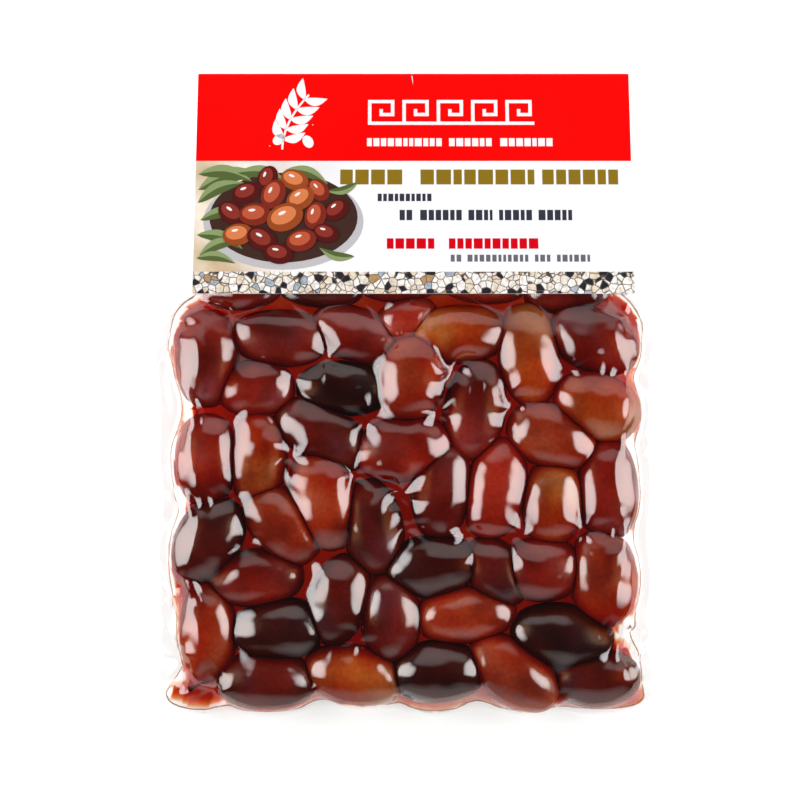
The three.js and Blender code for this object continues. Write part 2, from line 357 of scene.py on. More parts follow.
def keep_out(points, near):
    """Moves points that are inside one of their nearest olives back to its surface."""
    for choice in range(near.shape[1]):
        k = near[:, choice]
        half = AXES[k] + FILM_GAP
        cos, sin = TURNS[k].T
        away = points - CENTRES[k]
        along, across = along_and_across(away, TURNS[k], half)
        up = away[:, 2] / half[:, 2]
        inside = along * along + across * across + up * up
        hit = np.nonzero(inside < 1)[0]
        gu, gv, gw = along[hit] / half[hit, 0], across[hit] / half[hit, 1], up[hit] / half[hit, 2]
        slope = gu * gu + gv * gv + gw * gw + 1e-9
        depth = np.sqrt(inside[hit])
        move = np.minimum((1 - depth) * depth / slope, 3 / np.sqrt(slope))
        points[hit, 0] += (gu * cos[hit] - gv * sin[hit]) * move
        points[hit, 1] += (gu * sin[hit] + gv * cos[hit]) * move
        points[hit, 2] += gw * move


def nearest_olives(points, count=3):
    """The olives that lie nearest to each point in plan, in the olives' own sizes."""
    along, across = along_and_across(points[:, None, :2] - CENTRES[:, :2], TURNS, AXES)
    return np.argpartition(along ** 2 + across ** 2, count, axis=1)[:, :count]


def contained(net):
    """Volume between the two films."""
    total = 0.0
    for layer, sign in ((net[0], 1), (net[1], -1)):
        a = layer[1:, 1:] - layer[:-1, :-1]
        b = layer[1:, :-1] - layer[:-1, 1:]
        ground = (a[..., 0] * b[..., 1] - a[..., 1] * b[..., 0]) / 2
        height = (layer[1:, 1:, 2] + layer[:-1, :-1, 2] + layer[1:, :-1, 2] + layer[:-1, 1:, 2]) / 4
        total += sign * float((ground * height).sum())
    return total


def normals(net):
    """Directions of length 1 across both films, not yet turned outwards."""
    normal = np.cross(np.gradient(net, axis=2), np.gradient(net, axis=1))
    return normal / (np.linalg.norm(normal, axis=-1, keepdims=True) + 1e-9)


def press(net, sealed, cell):
    """Moves each free point inwards by the pressure of the air, or outwards by that of the brine."""
    excess = (contained(net) - CONTENTS) / CONTENTS
    pressure = PRESSURE * cell * float(np.clip(URGENCY * excess, -1, 1))
    normal = normals(net)
    normal[0] *= -1
    normal[:, sealed] = 0
    net += normal * np.float32(pressure)
    net[1, ~sealed, 2] -= BRINE_WEIGHT * cell
    flange = round(BOTTOM_SEAL / cell)
    net[:, :flange, :, 2] -= FLANGE_WEIGHT * cell


def part_films(net, sealed):
    """Keeps the upper film above the lower one, off the table and between the card's two panels."""
    covered = net[..., 1] > CARD_EDGE
    floor = np.where(covered, CARD_THICKNESS + WELD, 0)
    roof = CARD_HIGH[2] - CARD_THICKNESS - 2 * WELD - (net[..., 1] - CARD_EDGE) * math.tan(SLOPE)
    net[..., 2] = np.clip(net[..., 2], floor, np.where(covered, roof, BAG_HIGH[2]))
    middle = (net[0, ..., 2] + net[1, ..., 2]) / 2
    crossed = (net[0, ..., 2] - net[1, ..., 2] < 2 * FILM_GAP) & ~sealed
    net[0, ..., 2] = np.where(crossed, middle + FILM_GAP, net[0, ..., 2])
    net[1, ..., 2] = np.where(crossed, np.maximum(middle - FILM_GAP, floor[1]), net[1, ..., 2])


def settle(net, pattern, sealed, steps):
    """Lets the air press both films on the olives, with the seals welded and the header held."""
    cell = np.linalg.norm(pattern[0, 1] - pattern[0, 0])
    threads = links(pattern, 1)
    bends = [(link, strength) for span, strength in STIFFNESS for link in links(pattern, span)]
    weight = np.ones(pattern.shape[:2], np.float32)
    weight[-1] = 0
    before = net.copy()
    for step in range(steps):
        if step % 25 == 0:
            near = nearest_olives(net.reshape(-1, 3))
        speed = (net - before) * DAMPING
        before = net.copy()
        net += speed
        press(net, sealed, cell)
        for _ in range(THREAD_PASSES):
            for link in threads:
                pull(net, weight, link, 1.0, SQUASH)
        for link, strength in bends:
            pull(net, weight, link, 0.0, strength)
        middle = (net[0] + net[1]) / 2
        net[:, sealed] = middle[sealed]
        keep_out(net.reshape(-1, 3), near)
        part_films(net, sealed)
        net[:, -1, :, 0] = pattern[-1, :, 0]
        net[:, -1, :, 1] = HEADER_Y
        net[:, -1, :, 2] = HEADER_Z
    return net


def junctions():
    """Places in plan in the gaps between olives, from the widest gap down, none near another."""
    across = np.arange(BAG_LOW[0] + STAR_MARGIN, BAG_HIGH[0] - STAR_MARGIN, STAR_GRID)
    up = np.arange(BAG_LOW[1] + STAR_MARGIN + BOTTOM_SEAL, CARD_EDGE - STAR_MARGIN, STAR_GRID)
    x, y = (side.ravel() for side in np.meshgrid(across, up))
    points = np.column_stack([x, y, np.zeros_like(x)])
    reach = np.min([np.hypot(*to_local(points, k)[:, :2].T) for k in range(len(OLIVES))], axis=0)
    chosen = []
    for n in np.argsort(-reach):
        if reach[n] > STAR_GAP and all(math.dist((x[n], y[n]), other) > STAR_SPACING for other in chosen):
            chosen.append((x[n], y[n]))
    return chosen


def stars(layer):
    """Height of the star of sharp folds into which the film is drawn at each junction."""
    draw = random.Random(STAR_SEED)
    height = np.zeros(layer.shape[:2])
    for cx, cy in junctions():
        arms, first = draw.choice(STAR_ARMS), draw.uniform(0, 2 * math.pi)
        twist, size = draw.uniform(-STAR_TWIST, STAR_TWIST), draw.uniform(*STAR_HEIGHT)
        far = draw.uniform(*STAR_REACH)
        dx, dy = layer[..., 0] - cx, layer[..., 1] - cy
        reach = np.hypot(dx, dy)
        wave = (arms * (np.arctan2(dy, dx) + twist * reach) + first) / (2 * math.pi)
        tent = 1 - 2 * np.abs(wave - np.floor(wave) - 0.5)
        swell = np.clip(reach / far, 0, 1)
        height = np.maximum(height, size * tent * STAR_PEAK * swell * (1 - swell) ** 2)
    return height


def rim_folds(layer):
    """Height of the long wavy crease beside each side seal, pinched at places along it."""
    x, y = layer[..., 0], layer[..., 1]
    height = np.zeros(layer.shape[:2])
    for middle, start in RIM_FOLDS:
        line = middle + RIM_FOLD_WAVE * np.sin((y - start) * 2 * math.pi / RIM_FOLD_WAVE_LENGTH)
        swell = np.abs(np.sin((y - start) * math.pi / RIM_FOLD_LENGTH))
        tent = np.clip(1 - np.abs(x - line) / (RIM_FOLD_PINCHED + RIM_FOLD_HALF * swell), 0, 1)
        height = np.maximum(height, RIM_FOLD_HEIGHT * tent * (0.35 + 0.65 * swell))
    card, card_fade, seal, seal_fade = RIM_FOLD_ENDS
    upper = ease((CARD_EDGE - card - y) / card_fade)
    lower = ease((y - BAG_LOW[1] - BOTTOM_SEAL - seal) / seal_fade)
    return height * (upper * lower)


def ripple(net, sealed):
    """Moves both films along their normals, by waves in drawn directions and the upper one's folds."""
    draw = random.Random(RIPPLE_SEED)
    x, y = net[..., 0], net[..., 1]
    height = np.zeros(net.shape[:3])
    for length, size in RIPPLES:
        for _ in range(RIPPLE_WAVES):
            turn, phase = draw.uniform(0, 2 * math.pi), draw.uniform(0, 2 * math.pi)
            pace = 2 * math.pi / (length * draw.uniform(0.7, 1.4))
            along = x * math.cos(turn) + y * math.sin(turn)
            height += size * np.sin(pace * along + phase) / math.sqrt(RIPPLE_WAVES)
    height[0] += np.maximum(stars(net[0]), rim_folds(net[0]))
    height *= np.clip((net[0, ..., 2] - net[1, ..., 2]) / FREE_GAP, 0, 1)
    normal = normals(net)
    normal *= np.sign(normal[..., 2:]) * np.array([1, -1])[:, None, None, None]
    height[:, sealed] = 0
    net += (normal * height[..., None]).astype(np.float32)
    net[..., 2] = np.clip(net[..., 2], 0, BAG_HIGH[2] + RIPPLE_ROOM)


def draw_film():
    """The upper and the lower film as one net of two layers, and which of its points are welded."""
    cells = FIRST_CELLS
    pattern, sealed = flat_pattern(cells)
    net = np.zeros((2, cells + 1, cells + 1, 3), np.float32)
    net[..., :2] = pattern
    u = np.abs(np.linspace(-1, 1, cells + 1))
    v = np.linspace(0, 1, cells + 1)
    edge = np.minimum(1 - u[None, :], START_ENDS * np.minimum(v, 1 - v)[:, None]) / START_SLOPE
    net[0, ..., 2] = START_MIDDLE + START_RISE * ease(edge)
    net[1, ..., 2] = START_MIDDLE - START_MIDDLE * ease(edge)
    for level, steps in enumerate(SETTLING):
        if level:
            cells *= 2
            net = finer(net)
            pattern, sealed = flat_pattern(cells)
        net = settle(net, pattern, sealed, steps)
    ripple(net, sealed)
    return net, sealed


# ---------------------------------------------------------------- meshes


def turn_outwards(mesh):
    """Flips a closed mesh whose faces look inwards."""
    mesh.calc_loop_triangles()
    places = np.array([vertex.co for vertex in mesh.vertices])
    corners = np.array([triangle.vertices for triangle in mesh.loop_triangles])
    a, b, c = places[corners[:, 0]], places[corners[:, 1]], places[corners[:, 2]]
    if np.einsum("ij,ij->i", a, np.cross(b, c)).sum() < 0:
        mesh.flip_normals()


def make_piece(name, vertices, faces, material, replaces=(), smooth=True):
    """A mesh object from millimetre vertices, riding on the pack's one body."""
    mesh = bpy.data.meshes.new(name)
    mesh.from_pydata((np.asarray(vertices, float) * MM).tolist(), [], [tuple(map(int, f)) for f in faces])
    mesh.validate()
    turn_outwards(mesh)
    piece = bpy.data.objects.new(name, mesh)
    bpy.context.scene.collection.objects.link(piece)
    materials = material if isinstance(material, (list, tuple)) else [material]
    for item in materials:
        mesh.materials.append(item)
    if smooth:
        mesh.shade_smooth()
    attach(piece, "root")
    if replaces:
        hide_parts(*replaces)
    return piece


def two_skins(upper, lower, kept=None):
    """Vertices and faces of the closed body between two nets, over the kept cells if not over all."""
    rows, columns = upper.shape[:2]
    if kept is None:
        kept = np.ones((rows - 1, columns - 1), bool)
    kept = kept.ravel()
    count = rows * columns
    vertices = np.vstack([upper.reshape(-1, 3), lower.reshape(-1, 3)])
    index = np.arange(count).reshape(rows, columns)
    a, b = index[:-1, :-1].ravel()[kept], index[:-1, 1:].ravel()[kept]
    c, d = index[1:, 1:].ravel()[kept], index[1:, :-1].ravel()[kept]
    top = np.column_stack([a, b, c, d])
    bottom = np.column_stack([d, c, b, a]) + count
    start, end = np.concatenate([a, b, c, d]), np.concatenate([b, c, d, a])
    rim = ~np.isin(start * count + end, end * count + start)
    start, end = start[rim], end[rim]
    wall = np.column_stack([end, start, start + count, end + count])
    used, faces = np.unique(np.vstack([top, bottom, wall]), return_inverse=True)
    return vertices[used], faces.reshape(-1, 4)


# The four corners of every cell of a net, as places in the net.
ALL_BUT_ONE = (slice(0, -1), slice(1, None))
CELL_CORNERS = [(rows, columns) for rows in ALL_BUT_ONE for columns in ALL_BUT_ONE]


def folded_over(net):
    """Points of the net near a cell that a fold has turned over in plan."""
    down, across = np.diff(net[..., :2], axis=1)[:, :, :-1], np.diff(net[..., :2], axis=2)[:, :-1]
    turned_over = across[..., 0] * down[..., 1] - across[..., 1] * down[..., 0] <= 0
    near = np.zeros(net.shape[1:3], bool)
    for corner in CELL_CORNERS:
        near[corner] |= turned_over.any(axis=0)
    for _ in range(2):
        near[1:-1] |= near[2:] | near[:-2]
        near[:, 1:-1] |= near[:, 2:] | near[:, :-2]
    return near


def cells_clear_of(points):
    """Cells of a net with none of these points at a corner, and none that meet at a corner alone."""
    kept = ~np.any([points[corner] for corner in CELL_CORNERS], axis=0)
    for _ in range(4):
        a, b, c, d = (kept[corner] for corner in CELL_CORNERS)
        crossed = (a & d & ~b & ~c) | (b & c & ~a & ~d)
        for corner in CELL_CORNERS:
            kept[corner] &= ~crossed
    return kept


# ---------------------------------------------------------------- materials


class Tree:
    """A short way to write nodes."""

    def __init__(self, tree):
        self.tree = tree

    def add(self, kind, settings=None, **inputs):
        node = self.tree.nodes.new("ShaderNode" + kind)
        for key, value in (settings or {}).items():
            setattr(node, key, value)
        for key, value in inputs.items():
            self.put(node, key.replace("_", " "), value)
        return node

    def put(self, node, socket, value):
        target = node.inputs[socket]
        if isinstance(value, bpy.types.NodeSocket):
            self.tree.links.new(value, target)
        else:
            target.default_value = value

    def ramp(self, factor, *stops):
        node = self.add("ValToRGB", Fac=factor)
        ramp = node.color_ramp
        while len(ramp.elements) < len(stops):
            ramp.elements.new(0.5)
        for element, (place, colour) in zip(ramp.elements, stops):
            element.position = place
            element.color = (*colour, 1)
        return node.outputs["Color"]

    def pair(self, kind, operation, first, second):
        """Result of an operation on two numbers (kind Math) or two places (VectorMath)."""
        node = self.add(kind, {"operation": operation})
        self.put(node, 0, first)
        self.put(node, 1, second)
        return node.outputs[0]

    def mix(self, factor, first, second, blend="MIX"):
        node = self.add("MixRGB", {"blend_type": blend}, Fac=factor, Color1=first, Color2=second)
        return node.outputs[0]

    def multiply(self, first, second):
        return self.mix(1.0, first, second, "MULTIPLY")


class Nodes(Tree):
    """The nodes of a new material."""

    def __init__(self, name):
        self.material = bpy.data.materials.new(name)
        self.material.use_nodes = True
        super().__init__(self.material.node_tree)
        self.tree.nodes.clear()
        self.output = self.add("OutputMaterial")

    def surface(self, socket):
        self.put(self.output, "Surface", socket)
        return self.material

    def glazed(self, clear, roughness, mirror):
        """Finishes clear stuff with a gloss of which mirror gives the share."""
        through = self.add("BsdfTransparent", Color=clear)
        gloss = self.add("BsdfAnisotropic", Color=(1, 1, 1, 1), Roughness=roughness)
        mix = self.add("MixShader", Fac=mirror)
        self.put(mix, 1, through.outputs[0])
        self.put(mix, 2, gloss.outputs[0])
        return self.surface(mix.outputs[0])

    def rare_dots(self, place, scale, size, strength, share):
        """Mask of a few small dots, that fade over a range of sizes."""
        dots = self.add("TexVoronoi", Vector=place, Scale=scale)
        spot = self.ramp(dots.outputs["Distance"], (size[0], (strength,) * 3), (size[1], (0, 0, 0)))
        chosen = self.add("SeparateColor", Color=dots.outputs["Color"]).outputs["Red"]
        return self.multiply(spot, self.ramp(chosen, (share[0], (0, 0, 0)), (share[1], (1, 1, 1))))

    def noise(self, place, scale, detail):
        return self.add("TexNoise", Vector=place, Scale=scale, Detail=detail).outputs["Fac"]

    def coated(self, colour, place, roughness, bump):
        """Finishes printed or paper board, with a faint fibre."""
        relief = self.add("Bump", Height=self.noise(place, 1500.0, 2.0), Strength=bump, Distance=0.0002)
        shader = self.add("BsdfPrincipled", Base_Color=colour, Roughness=roughness,
                          Normal=relief.outputs[0])
        shader.inputs["Specular IOR Level"].default_value = 0.06
        return self.surface(shader.outputs[0])


def film_material():
    """Clear glossy film: a mirror that grows towards grazing, over what shows through."""
    nodes = Nodes("bag_film")
    facing = nodes.add("LayerWeight", Blend=0.5).outputs["Facing"]
    power = nodes.pair("Math", "POWER", facing, 5.0)
    mirror = nodes.add("MapRange", Value=power, To_Min=0.085, To_Max=0.9).outputs["Result"]
    return nodes.glazed((0.985, 0.985, 0.98, 1), 0.04, mirror)


def brine_material():
    """Red brown liquid that colours what lies behind it by its depth."""
    nodes = Nodes("brine")
    clear = nodes.add("BsdfTransparent", Color=(1, 1, 1, 1))
    depth = nodes.add("VolumeAbsorption", Color=(0.903, 0.474, 0.094, 1), Density=1000.0)
    nodes.put(nodes.output, "Volume", depth.outputs[0])
    return nodes.surface(clear.outputs[0])


def edge_material():
    """Clear brownish line with a bright rim towards grazing."""
    nodes = Nodes("brine_edge")
    facing = nodes.add("LayerWeight", Blend=0.5).outputs["Facing"]
    return nodes.glazed((0.68, 0.5, 0.38, 1), 0.12, facing)


# Deep and light tone of each kind's skin.
OLIVE_TONES = {
    "black": ((0.012, 0.002, 0.005), (0.045, 0.008, 0.013)),
    "plum": ((0.045, 0.006, 0.010), (0.15, 0.020, 0.028)),
    "maroon": ((0.085, 0.009, 0.013), (0.26, 0.032, 0.036)),
    "red": ((0.13, 0.011, 0.010), (0.38, 0.048, 0.036)),
    "russet": ((0.14, 0.019, 0.010), (0.36, 0.070, 0.028)),
    "amber": ((0.18, 0.035, 0.007), (0.42, 0.14, 0.026)),
}


def olive_material(kind):
    """Smooth olive skin in two tones that drift into each other, with fine pale specks."""
    nodes = Nodes("olive_" + kind)
    place = nodes.add("TexCoord").outputs["Object"]
    deep, light = OLIVE_TONES[kind]
    skin = nodes.ramp(nodes.noise(place, 48.0, 2.0), (0.34, deep), (0.64, light))
    grain = nodes.noise(place, 700.0, 3.0)
    cloud = nodes.ramp(grain, (0.3, (0.86, 0.84, 0.84)), (0.72, (1.18, 1.14, 1.12)))
    specks = nodes.rare_dots(place, 620.0, (0.06, 0.12), 0.35, (0.84, 0.86))
    pale = tuple(min(1, 2.2 * c + 0.05) for c in light)
    clouded = nodes.multiply(skin, cloud)
    tint = nodes.mix(specks, clouded, (*pale, 1))
    bump = nodes.add("Bump", Height=grain, Strength=0.06, Distance=0.0003)
    shader = nodes.add("BsdfPrincipled", Base_Color=tint, Roughness=0.24, Normal=bump.outputs[0])
    shader.inputs["Specular IOR Level"].default_value = 0.35
    return nodes.surface(shader.outputs[0])


PAPER_WHITE = (0.89, 0.89, 0.95, 1)


def plain_material(name, colour, roughness=0.5, bump=0.02):
    """Print or paper: one colour with a slightly uneven shade and a faint fibre."""
    nodes = Nodes(name)
    place = nodes.add("TexCoord").outputs["Object"]
    shade = nodes.ramp(nodes.noise(place, 25.0, 1.0), (0.3, tuple(0.95 * c for c in colour)), (0.7, colour))
    return nodes.coated(shade, place, roughness, bump)


def red_material():
    """Red print in two depths that drift into each other, with a few tiny white flaws."""
    nodes = Nodes("card_red")
    place = nodes.add("TexCoord").outputs["Object"]
    red = nodes.ramp(nodes.noise(place, 25.0, 1.0), (0.3, (0.86, 0.0, 0.0)), (0.7, (0.96, 0.001, 0.001)))
    flaws = nodes.rare_dots(place, 420.0, (0.05, 0.09), 1.0, (0.965, 0.97))
    return nodes.coated(nodes.mix(flaws, red, (0.8, 0.75, 0.75, 1)), place, 0.5, 0.02)


def mosaic_material():
    """A traditional floor of broken stones: mostly cream and white, some black, blue grey or brown."""
    nodes = Nodes("card_mosaic")
    place = nodes.add("TexCoord").outputs["Object"]
    bent = nodes.add("TexNoise", Vector=place, Scale=260.0, Detail=1.0).outputs["Color"]
    shift = nodes.add("VectorMath", {"operation": "SCALE"})
    nodes.put(shift, 0, bent)
    shift.inputs["Scale"].default_value = 0.0011
    moved = nodes.pair("VectorMath", "ADD", place, shift.outputs[0])
    cells = {"Vector": moved, "Scale": 440.0, "Randomness": 0.9}
    stones = nodes.add("TexVoronoi", **cells)
    gaps = nodes.add("TexVoronoi", {"feature": "DISTANCE_TO_EDGE"}, **cells)
    pick = nodes.add("SeparateColor", Color=stones.outputs["Color"])
    kinds = nodes.ramp(pick.outputs["Red"],
                       (0.0, (0.80, 0.74, 0.66)), (0.22, (0.86, 0.84, 0.82)), (0.46, (0.72, 0.62, 0.50)),
                       (0.60, (0.84, 0.80, 0.76)), (0.74, (0.35, 0.42, 0.50)), (0.80, (0.45, 0.27, 0.13)),
                       (0.84, (0.02, 0.022, 0.03)))
    kinds.node.color_ramp.interpolation = "CONSTANT"
    grime = nodes.ramp(nodes.noise(place, 900.0, 3.0), (0.3, (0.72, 0.66, 0.6)), (0.6, (1.06, 1.06, 1.06)))
    stone = nodes.multiply(kinds, grime)
    line = nodes.ramp(gaps.outputs["Distance"], (0.03, (1, 1, 1)), (0.075, (0, 0, 0)))
    return nodes.coated(nodes.mix(line, stone, (0.10, 0.075, 0.06, 1)), place, 0.5, 0.02)


def picture_material():
    """Backdrop of the picture: warm cream at the left that fades to white paper."""
    nodes = Nodes("card_picture")
    place = nodes.add("TexCoord").outputs["Object"]
    across = nodes.add("SeparateXYZ", Vector=place).outputs["X"]
    left, right = CARD_LEFT * MM, (CARD_LEFT + PICTURE_WIDTH) * MM
    fade = nodes.add("MapRange", Value=across, From_Min=left, From_Max=right).outputs["Result"]
    cloud = nodes.noise(place, 55.0, 3.0)
    warm = nodes.ramp(cloud, (0.35, (0.52, 0.36, 0.2)), (0.65, (0.85, 0.77, 0.64)))
    share = nodes.ramp(fade, (0.15, (0, 0, 0)), (0.95, (1, 1, 1)))
    return nodes.coated(nodes.mix(share, warm, PAPER_WHITE), place, 0.5, 0.02)


# ---------------------------------------------------------------- the pieces


def make_olives():
    kinds = sorted({row[5] for row in OLIVES})
    for kind in kinds:
        vertices, faces = [], []
        for k, row in enumerate(OLIVES):
            if row[5] != kind:
                continue
            points, own_faces = olive_shape(k)
            start = len(vertices)
            vertices.extend(squeeze(points, k))
            faces.extend([tuple(start + n for n in face) for face in own_faces])
        make_piece("olives_" + kind, vertices, faces, olive_material(kind), ("olive_bag",))


def make_bag():
    """The film out to the bag's cut edges, and what its two nets hold."""
    net, sealed = draw_film()
    upper, lower = net[0].copy(), net[1].copy()
    upper[..., 2] += WELD / 2
    lower[..., 2] = np.maximum(lower[..., 2] - WELD / 2, 0)
    steps = np.linspace(0, 1, HEADER_ROWS + 1)[1:, None, None]
    end = np.array([0, BAG_HIGH[1] - HEADER_Y, HEADER_END_Z - HEADER_Z])
    upper = np.vstack([upper, upper[-1][None] + steps * end])
    lower = np.vstack([lower, lower[-1][None] + steps * end])
    vertices, faces = two_skins(upper, lower)
    make_piece("bag_film", vertices, faces, film_material(), ("olive_bag",))
    make_brine(net, sealed)
    make_edge(net)


def make_brine(net, sealed):
    """The brine, just inside the films, where they are far enough apart."""
    rows = np.nonzero(~sealed.all(axis=1))[0]
    columns = np.nonzero(~sealed.all(axis=0))[0]
    inside = np.s_[:, rows[0] - 1:, columns[0] - 1:columns[-1] + 2]
    top, bottom = net[inside].copy()
    middle = (top[..., 2] + bottom[..., 2]) / 2
    top[..., 2] = np.maximum(top[..., 2] - BRINE_INSET, middle + BRINE_LEAST)
    bottom[..., 2] = np.minimum(bottom[..., 2] + BRINE_INSET, middle - BRINE_LEAST)
    gap = net[inside][0, ..., 2] - net[inside][1, ..., 2]
    kept = cells_clear_of(folded_over(net[inside]) | (gap < EDGE_GAP))
    vertices, faces = two_skins(top, bottom, kept)
    make_piece("brine", vertices, faces, brine_material(), ("olive_bag",))


def brine_edge(net):
    """Line round the sides and the bottom at which the two films begin to part."""
    gap = net[0, ..., 2] - net[1, ..., 2]
    half = gap.shape[0] / 2
    line = []
    inwards = np.arange(EDGE_START * half, 0, -0.5)
    for turn in np.radians(np.linspace(*EDGE_TURNS, EDGE_POINTS)):
        row = np.rint(half + inwards * math.sin(turn)).astype(int)
        column = np.rint(half + inwards * math.cos(turn)).astype(int)
        within = (np.minimum(row, column) >= 0) & (np.maximum(row, column) < len(gap))
        row, column = row[within], column[within]
        first = np.argmax(gap[row, column] > EDGE_GAP)
        line.append(net[:, row[first], column[first]].mean(axis=0))
    line = np.array(line)
    window = np.ones(EDGE_EVENED) / EDGE_EVENED
    evened = np.column_stack([np.convolve(side, window, "valid") for side in line.T])
    return evened[evened[:, 1] < CARD_EDGE + 2]


def tube(path, radius, sides=8):
    """Vertices and faces of a round bar along a path, closed at both ends."""
    ahead = np.gradient(path, axis=0)
    side = np.cross(ahead, (0, 0, 1))
    side /= np.linalg.norm(side, axis=1, keepdims=True)
    above = np.cross(side, ahead)
    above /= np.linalg.norm(above, axis=1, keepdims=True)
    turns = 2 * math.pi * np.arange(sides)[:, None] / sides
    rings = path[:, None] + radius * (side[:, None] * np.cos(turns) + above[:, None] * np.sin(turns))
    index = np.arange(len(path) * sides).reshape(len(path), sides)
    after = np.roll(index, -1, axis=1)
    walls = np.stack([index[:-1], after[:-1], after[1:], index[1:]], axis=-1).reshape(-1, 4)
    return rings.reshape(-1, 3), [*walls, index[0][::-1], index[-1]]


def make_edge(net):
    """The brine's rim, drawn up between the films into a thin line round the contents."""
    vertices, faces = tube(brine_edge(net), EDGE_RADIUS)
    make_piece("brine_edge", vertices, faces, edge_material())


# ---------------------------------------------------------------- the header card


def card_line():
    """Side view of the folded card as rows of [y, z], from the back's edge to the front's."""
    low = CARD_THICKNESS / 2
    run = CARD_FOLD - low - FOLD_RADIUS
    panel = (run - CARD_EDGE) / math.cos(SLOPE) + FOLD_RADIUS * math.tan(SLOPE)
    back = [(CARD_EDGE + BACK_SHORTER, low), (CARD_EDGE + RED_FROM, low)]
    angles = np.linspace(-math.pi / 2, math.pi / 2 - SLOPE, 12)
    fold = [(run + FOLD_RADIUS * math.cos(a), low + FOLD_RADIUS + FOLD_RADIUS * math.sin(a)) for a in angles]
    start = np.array(fold[-1])
    down = np.array([-math.cos(SLOPE), math.sin(SLOPE)])
    front = [tuple(start + down * (panel - up)) for up in (RED_FROM, MOSAIC_TOP, 0)]
    return np.array(back + fold + front)


def make_card():
    """The folded card, with each field of its print as a material of its own."""
    line = card_line()
    ahead = np.gradient(line, axis=0)
    ahead /= np.linalg.norm(ahead, axis=1, keepdims=True)
    side = np.column_stack([-ahead[:, 1], ahead[:, 0]]) * CARD_THICKNESS / 2
    columns = np.array([CARD_LEFT, CARD_LEFT + PICTURE_WIDTH, CARD_RIGHT])

    def sheet(section):
        return np.array([[(x, y, z) for x in columns] for y, z in section])

    vertices, faces = two_skins(sheet(line - side), sheet(line + side))
    fields = [plain_material("card_paper", PAPER_WHITE[:3]), red_material(), mosaic_material(),
              picture_material()]
    paper, red, mosaic, picture = range(4)
    rows = [(paper, paper)] + [(red, red)] * (len(line) - 4) + [(picture, paper), (mosaic, mosaic)]
    card = make_piece("header_card_print", vertices, faces, fields, ("header_card",), smooth=False)
    outside = [field for row in rows for field in row]
    for polygon, field in zip(card.data.polygons, outside):
        polygon.material_index = field


def on_panel(u, v, height):
    """The place u across and v up the front panel, at a height above its surface."""
    edge = np.array([*card_line()[-1]])
    origin = np.array([CARD_LEFT, *edge])
    return origin + np.array([u, 0, 0]) + v * PANEL_UP + (CARD_THICKNESS / 2 + height) * PANEL_OUT


def print_shapes(name, outlines, colour, layers=None):
    """Flat shapes printed on the front panel, as thin closed bodies that reach up to their layers."""
    vertices, faces = [], []
    for outline, layer in zip(outlines, layers or [1] * len(outlines)):
        outline = np.array(outline, float)
        after = np.roll(outline, -1, axis=0)
        if (outline[:, 0] * after[:, 1] - outline[:, 1] * after[:, 0]).sum() < 0:
            outline = outline[::-1]
        start, count = len(vertices), len(outline)
        for height in (-0.5 * INK, layer * INK):
            vertices.extend(on_panel(u, v, height) for u, v in outline)
        for corners in tessellate_polygon([[Vector((u, v, 0)) for u, v in outline]]):
            a, b, c = corners
            p, q, r = outline[[a, b, c]]
            if (q[0] - p[0]) * (r[1] - p[1]) < (q[1] - p[1]) * (r[0] - p[0]):
                b, c = c, b
            faces.append((start + a, start + c, start + b))
            faces.append((start + count + a, start + count + b, start + count + c))
        for a in range(count):
            b = (a + 1) % count
            faces.append((start + a, start + b, start + count + b, start + count + a))
    make_piece(name, vertices, faces, plain_material(name, colour), smooth=False)


def box(left, right, low, high):
    return [(left, low), (right, low), (right, high), (left, high)]


def turned(points, u, v, degrees):
    cos, sin = math.cos(math.radians(degrees)), math.sin(math.radians(degrees))
    return [(u + x * cos - y * sin, v + x * sin + y * cos) for x, y in points]


def oval(u, v, length, width, degrees, sides=28):
    angles = [2 * math.pi * k / sides for k in range(sides)]
    points = [(length / 2 * math.cos(a), width / 2 * math.sin(a)) for a in angles]
    return turned(points, u, v, degrees)


def leaf(u, v, length, width, degrees, bend=0.12, half=False, steps=12):
    """A long pointed leaf from its stalk at u, v; half gives only the side over its midrib."""
    along = [k / steps for k in range(steps + 1)]
    middle = [bend * length * math.sin(math.pi * t) for t in along]
    swell = [width / 2 * math.sin(math.pi * t ** 0.85) ** 0.9 for t in along]
    upper = [(t * length, m + s) for t, m, s in zip(along, middle, swell)]
    lower = [(t * length, m - (0 if half else s)) for t, m, s in zip(along, middle, swell)]
    return turned(upper + lower[-2:0:-1], u, v, degrees)


def ribbon(path, width):
    """Outline of a line with square corners, drawn along a path."""
    path = np.array(path, float)
    ahead = np.diff(path, axis=0)
    ahead /= np.linalg.norm(ahead, axis=1, keepdims=True)
    side = np.column_stack([-ahead[:, 1], ahead[:, 0]])
    corners = [side[0]]
    for before, after in zip(side[:-1], side[1:]):
        corners.append((before + after) / (1 + before @ after))
    corners.append(side[-1])
    shift = np.array(corners) * width / 2
    return np.vstack([path + shift, (path - shift)[::-1]])


def block_line(words, middle, height, block, gap, seed):
    """A line of print as plain blocks of uneven width; words are (left, right) shares of the card."""
    draw = random.Random(seed)
    shapes = []
    for left, right in words:
        u, end = left * CARD_WIDTH, right * CARD_WIDTH
        while u < end - block / 2:
            wide = min(block * draw.uniform(0.7, 1.3), end - u)
            shapes.append(box(u, u + wide, middle - height / 2, middle + height / 2))
            u += wide + gap
    return shapes


def greek_key(left, low, unit, width, count):
    """A running Greek key: hooks on a base line."""
    length = (6 * count - 1) * unit
    shapes = [box(left, left + length, low - width / 2, low + width / 2)]
    for k in range(count):
        foot = left + (6 * k) * unit + width / 2
        hook = [(0, width / 2), (0, 4 * unit), (4 * unit, 4 * unit), (4 * unit, 1.6 * unit),
                (2 * unit, 1.6 * unit), (2 * unit, 2.6 * unit)]
        shapes.append(ribbon([(foot + x, low + y) for x, y in hook], width))
    return shapes


